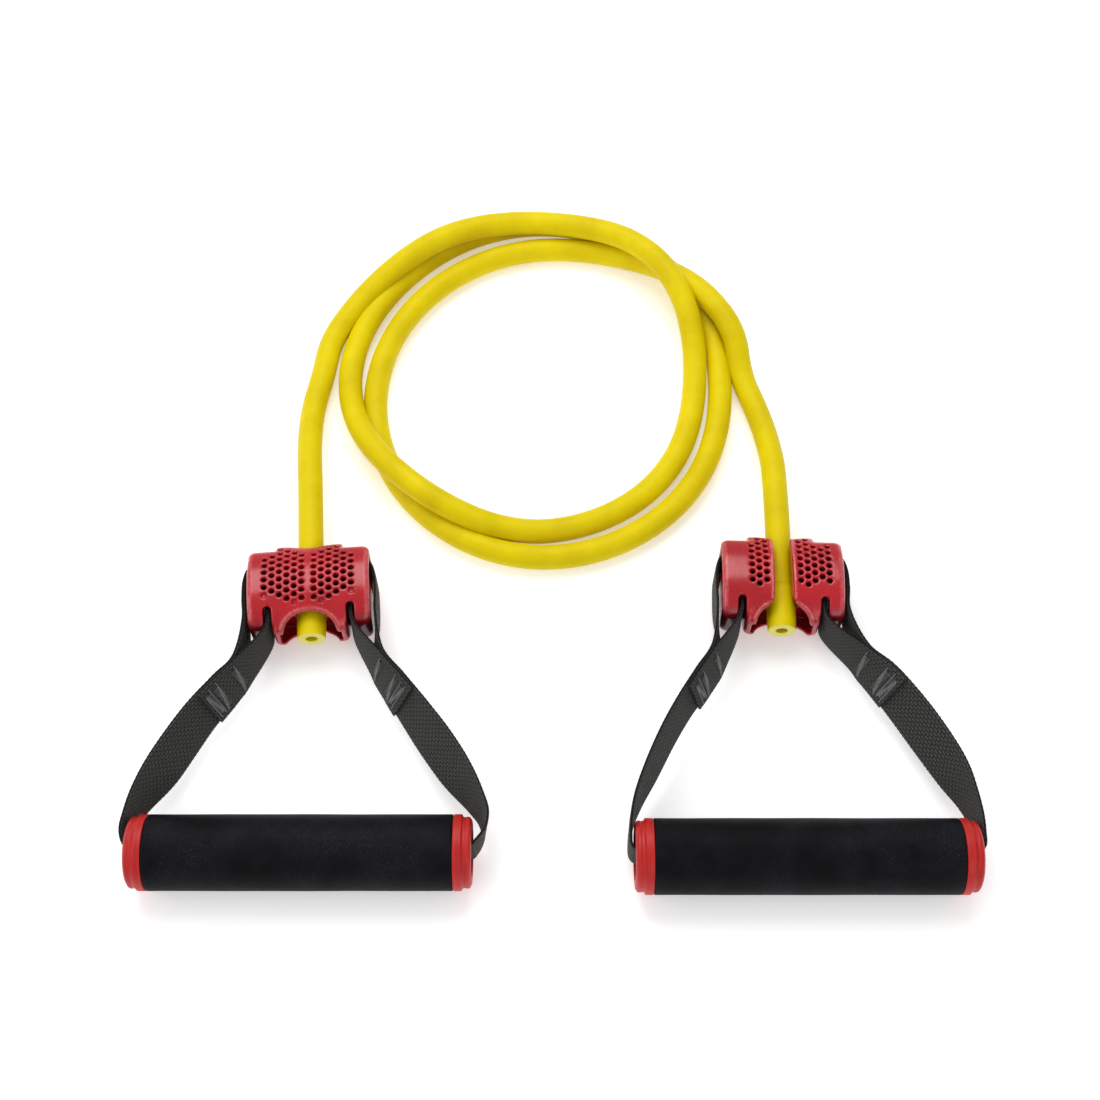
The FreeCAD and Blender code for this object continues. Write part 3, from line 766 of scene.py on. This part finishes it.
def pocket_mesh():
    """Points, faces, painted rim highlight share and painted shade share of a pocket in its own
    frame.
    """
    body, outer, low = pocket_fields()
    points, faces = surface_net(body)
    points = relaxed(points, faces)
    bend = sum(np.gradient(np.gradient(outer, GRID_STEP, axis=axis), GRID_STEP, axis=axis)
               for axis in range(3))
    depth = -sampled(outer, points) - 0.25
    spots = points * GRID_STEP + low
    arch_far = (np.hypot(spots[:, 0] / ARCH_HALF_WIDTH, (spots[:, 1] + MOUTH) / ARCH_HEIGHT)
                - 1) * ARCH_HEIGHT - 0.2
    # Painted highlight share: the outer body's convex edges and the arch's lip, faded where the
    # surface lies deeper.
    rim_highlight = np.clip((sampled(bend, points) - 0.16) / 0.5, 0, 1)
    rim_highlight = np.maximum(rim_highlight, 0.8 * np.clip(1 - np.abs(arch_far) / 0.45, 0, 1))
    rim_highlight *= np.clip(1 - depth / 1.2, 0, 1)
    # Painted shade share: darker the deeper a point lies under the outer body, weakened by the
    # slot, at the arch's lip and in the lower middle.
    recess_shade = np.clip((depth - 0.5) / 2.2, 0, 1)
    out = np.abs(spots[:, 0])
    # Painted shade at the bottoms of the wings, which also dims the painted highlight there.
    base = np.where(out > ROOM_START - 1, np.clip((-14.5 - spots[:, 1]) / 4, 0, 1), 0)
    rim_highlight *= 1 - 0.9 * base
    dark = np.where((out < 13.2) & (spots[:, 1] < -5.0), 0.5, 0.95)
    recess_shade *= np.where((out < 5.0) | (np.abs(arch_far) < 0.6), 0.12, dark)
    recess_shade = np.maximum(recess_shade, 0.6 * base)
    return spots, faces, 0.7 * rim_highlight, recess_shade


def add_share(piece, name, values):
    """Store one number per vertex for the material to read."""
    attribute = piece.data.attributes.new(name, "FLOAT", "POINT")
    attribute.data.foreach_set("value", values.astype(np.float32))


def pockets():
    """Both pockets: the same moulding, with the left one turned over about the tube."""
    points, faces, rim_highlight, recess_shade = pocket_mesh()
    for side in SIDES:
        turn = Matrix.Rotation(math.pi if side == "left" else 0, 4, "Y")
        piece = mesh_piece(side + "_pocket_shell", points, faces, pocket_frame(side) @ turn,
                           CRIMSON)
        add_share(piece, "rim_highlight", rim_highlight)
        add_share(piece, "recess_shade", recess_shade)
        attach(piece, side + "_pocket")
        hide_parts(side + "_pocket")


# ---------------------------------------------------------------- webbing

def across_at(along, lean):
    """Direction of the webbing's width, from the way it runs and its lean in degrees."""
    outward = along.cross(UP).normalized()
    return outward * math.sin(math.radians(lean)) + UP * math.cos(math.radians(lean))


def with_across(points):
    """Rows of place and width direction for points of place and lean."""
    rows = []
    for index, (place, lean) in enumerate(points):
        before = points[max(index - 1, 0)][0]
        after = points[min(index + 1, len(points) - 1)][0]
        rows.append([*place, *across_at(after - before, lean)])
    return rows


def arm_rows(side, hand):
    """Rows of one arm from the flex line to the middle of the grip, in millimetres."""
    pocket = pocket_frame(side)
    origin = grip_frame(side).translation / MM
    points = [(pocket @ Vector((hand * LOOP[-1][0], FLEX_PLACE + FORK_RISE, 0)) / MM, FORK_LEAN),
              (pocket @ Vector((hand * FLEX_OUT[side][hand], FLEX_PLACE, 0)) / MM, FLEX_LEAN)]
    for out, along, lean in ARMS[side][hand] + BORE_TURN:
        points.append((Vector((origin.x + hand * out, origin.y + along, origin.z)), lean))
    rows = with_across(points if hand < 0 else points[::-1])
    return rows if hand < 0 else rows[::-1]


def face_of(row, after):
    """Normal of the webbing's inner face at a row."""
    along = Vector(after[:3]) - Vector(row[:3])
    return Vector(row[3:]).cross(along).normalized()


def tail_rows(side, hand, rows):
    """Rows of one sewn tail, from its cut end up to the fork, on the arm's inner face."""
    smooth, marks = spline(rows, 1.0)
    made = []
    for run in np.linspace(TAIL_START + TAIL_LENGTH, TAIL_START, 6):
        index = int(np.searchsorted(marks, run))
        row, after = smooth[index], smooth[index + 1]
        face = face_of(row, after) * (-hand)
        lift = WEBBING_THICKNESS + LAYER_GAP
        made.append([*(Vector(row[:3]) + face * lift), *row[3:]])
    return made


def loop_rows(side, hand):
    """Rows of the loop through a wing, from the notch to the outside."""
    pocket = pocket_frame(side)
    rows = []
    for out, up, lean in LOOP:
        tilt = Vector((hand * math.sin(math.radians(lean)), 0, math.cos(math.radians(lean))))
        across = pocket.to_3x3() @ tilt
        rows.append([*(pocket @ Vector((hand * out, up, 0)) / MM), *across.normalized()])
    return rows


def webbing_rows(side):
    """The whole length of one handle's webbing, from cut end to cut end."""
    halves = {}
    tails = {}
    for hand in HANDS:
        arm = arm_rows(side, hand)
        tails[hand] = tail_rows(side, hand, arm)
        halves[hand] = tails[hand] + loop_rows(side, hand) + arm[1:]
    return halves[-1] + halves[1][::-1]


def strip(rows, width, thickness, spacing):
    """Points, faces and weave coordinates of webbing with a thick, serrated selvedge."""
    smooth, marks = spline(rows, spacing)
    places = smooth[:, :3]
    along = np.gradient(places, axis=0)
    along /= np.linalg.norm(along, axis=1)[:, None]
    across = smooth[:, 3:]
    across = across - (across * along).sum(1)[:, None] * along
    across /= np.linalg.norm(across, axis=1)[:, None]
    face = np.cross(across, along)
    half_columns = 12
    shares = np.linspace(-1, 1, 2 * half_columns + 1)
    serration = 0.22 * np.abs(np.sin(math.pi * marks / 1.9))
    points = []
    weave = []
    for top in (1, -1):
        for share in shares[::top]:
            reach = (width / 2 - 0.3 + serration) * share
            edge = 1 - 0.55 * abs(share) ** 10
            bulge = 1 + 0.10 * math.exp(-((abs(share) - 0.93) / 0.05) ** 2)
            lift = top * thickness / 2 * edge * bulge
            points.append(places + across * reach[:, None] + face * lift)
            weave.append(np.column_stack([marks, np.full(len(marks), share * width / 2)]))
    points = np.stack(points, 1)
    weave = np.stack(weave, 1)
    rows_count, ring = points.shape[:2]
    number = np.arange(rows_count * ring).reshape(rows_count, ring)
    after = np.roll(number, -1, axis=1)
    faces = np.stack([number[:-1], after[:-1], after[1:], number[1:]], 2).reshape(-1, 4)
    half = ring // 2
    caps = [[end[item], end[item + 1], end[ring - 2 - item], end[ring - 1 - item]]
            for end in (number[0], number[-1]) for item in range(half - 1)]
    caps = [cap if index < half - 1 else cap[::-1] for index, cap in enumerate(caps)]
    faces = np.vstack([faces[:, ::-1], np.array(caps)])
    return points.reshape(-1, 3), faces, weave.reshape(-1, 2)


def blend_over_flex(piece):
    """Bake a piece's placement into its mesh, leaving it in the row frame."""
    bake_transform(piece)


def handle_webbing(side):
    """One handle's webbing, in one length."""
    points, faces, weave = strip(webbing_rows(side), WEBBING_WIDTH, WEBBING_THICKNESS, 0.5)
    piece = mesh_piece(side + "_webbing", points, faces, Matrix.Scale(MM, 4), WEBBING)
    layer = piece.data.uv_layers.new(name="weave")
    corners = np.zeros(len(piece.data.loops), int)
    piece.data.loops.foreach_get("vertex_index", corners)
    layer.data.foreach_set("uv", weave[corners].ravel())
    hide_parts(side + "_handle_webbing", side + "_pocket_webbing")
    blend_over_flex(piece)


def thread_tube(path, radius, sides=6):
    """Points and faces of a thin round thread along a path."""
    path = np.array(path)
    along = np.gradient(path, axis=0)
    along /= np.linalg.norm(along, axis=1)[:, None]
    guide = np.array((0.3, 0.2, 0.93))
    one = np.cross(along, guide)
    one /= np.linalg.norm(one, axis=1)[:, None]
    two = np.cross(along, one)
    angles = np.linspace(0, 2 * math.pi, sides, endpoint=False)
    points = np.stack([path + radius * (one * math.cos(a) + two * math.sin(a)) for a in angles], 1)
    number = np.arange(len(path) * sides).reshape(len(path), sides)
    after = np.roll(number, -1, axis=1)
    faces = np.stack([number[:-1], after[:-1], after[1:], number[1:]], 2).reshape(-1, 4).tolist()
    return points.reshape(-1, 3), faces + [number[0].tolist()[::-1], number[-1].tolist()]


def bar_tacks(side):
    """Dense zigzag rows of thread across the sewn tails and through to the strap's far face."""
    points, faces = [], []
    for hand in HANDS:
        arm = arm_rows(side, hand)
        smooth, marks = spline(arm, 0.5)
        for place in TACK_PLACES:
            for deck in (WEBBING_THICKNESS * 1.5 + LAYER_GAP, -WEBBING_THICKNESS * 0.5):
                path = []
                steps = TACK_PASSES * TACK_STEPS
                for step in range(steps + 1):
                    run = TAIL_START + place + TACK_RUN * step / steps
                    index = int(np.searchsorted(marks, run))
                    row, after = smooth[index], smooth[index + 1]
                    face = face_of(row, after) * (-hand)
                    wave = abs((step / TACK_STEPS) % 2 - 1) * 2 - 1
                    dip = THREAD_DIP * abs(wave) ** 8
                    lift = deck + math.copysign(THREAD_LIFT - dip, deck)
                    across = Vector(row[3:]).normalized() * (TACK_HALF_WIDTH * wave)
                    path.append(Vector(row[:3]) + across + face * lift)
                made, walls = thread_tube(path, THREAD_RADIUS)
                start = sum(len(group) for group in points)
                faces += [[start + item for item in wall] for wall in walls]
                points.append(made)
    piece = mesh_piece(side + "_stitching", np.vstack(points), faces, Matrix.Scale(MM, 4), THREAD)
    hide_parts(side + "_bar_tacks")
    blend_over_flex(piece)


# ---------------------------------------------------------------- grips

def sleeve(side):
    """Foam sleeve with softened ends and a faintly uneven skin."""
    inner = GRIP_HALF - CAP_LENGTH
    rings = 120
    top = [(-inner + 0.5 + (2 * inner - 1.0) * step / rings,
            GRIP_RADIUS - 0.04 - 0.05 * math.sin(0.13 * step) * math.sin(0.05 * step + 1))
           for step in range(rings + 1)]
    outline = ([(-inner, CORE_RADIUS + 0.8), (-inner, GRIP_RADIUS - 0.6)] + top
               + [(inner, GRIP_RADIUS - 0.6), (inner, CORE_RADIUS + 0.8)])
    points, faces = lathe(outline)
    piece = mesh_piece(side + "_foam_sleeve", points, faces, grip_frame(side), FOAM)
    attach(piece, side + "_grip")
    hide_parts(side + "_grip_sleeve")


def end_cap(side, mark, sign):
    """Red end cap: full band, small step, turned barrel and rounded bead at its mouth."""
    inner = GRIP_HALF - CAP_LENGTH
    step_radius = GRIP_RADIUS - 1.1
    corners = [(inner, CORE_RADIUS), (inner, GRIP_RADIUS), (inner + CAP_BAND, GRIP_RADIUS),
               (inner + CAP_BAND + 0.3, step_radius), (inner + CAP_BAND + 1.6, step_radius - 0.1),
               (inner + CAP_BAND + 2.0, step_radius + 0.12), (GRIP_HALF - 0.9, step_radius),
               (GRIP_HALF, step_radius - 1.4), (GRIP_HALF, CORE_BORE), (GRIP_HALF - 1, CORE_BORE),
               (GRIP_HALF - 1, CORE_RADIUS)]
    points, faces = lathe(rounded(corners, 0.45))
    turn = Matrix.Rotation(0 if sign > 0 else math.pi, 4, "Z")
    name = "%s_cap_%s" % (side, mark)
    piece = mesh_piece(name, points, faces, grip_frame(side) @ turn, CAP_RED)
    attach(piece, side + "_grip")
    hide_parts("%s_end_cap_%s" % (side, mark))


def kept_nodes(side):
    """Finish for the CAD pieces that stay as they are."""
    for node, material in (("core_tube", CORE), ("plug", PLUG)):
        mesh = frame["nodes"]["%s_%s" % (side, node)].data
        mesh.materials.clear()
        mesh.materials.append(material)


# ---------------------------------------------------------------- put together

camera()
studio()
tube = latex_tube()
[tube_end(side) for side in SIDES]
pockets()
for side in SIDES:
    handle_webbing(side)
    bar_tacks(side)
    sleeve(side)
    for mark, sign in (("left", -1), ("right", 1)):
        end_cap(side, mark, sign)
    kept_nodes(side)
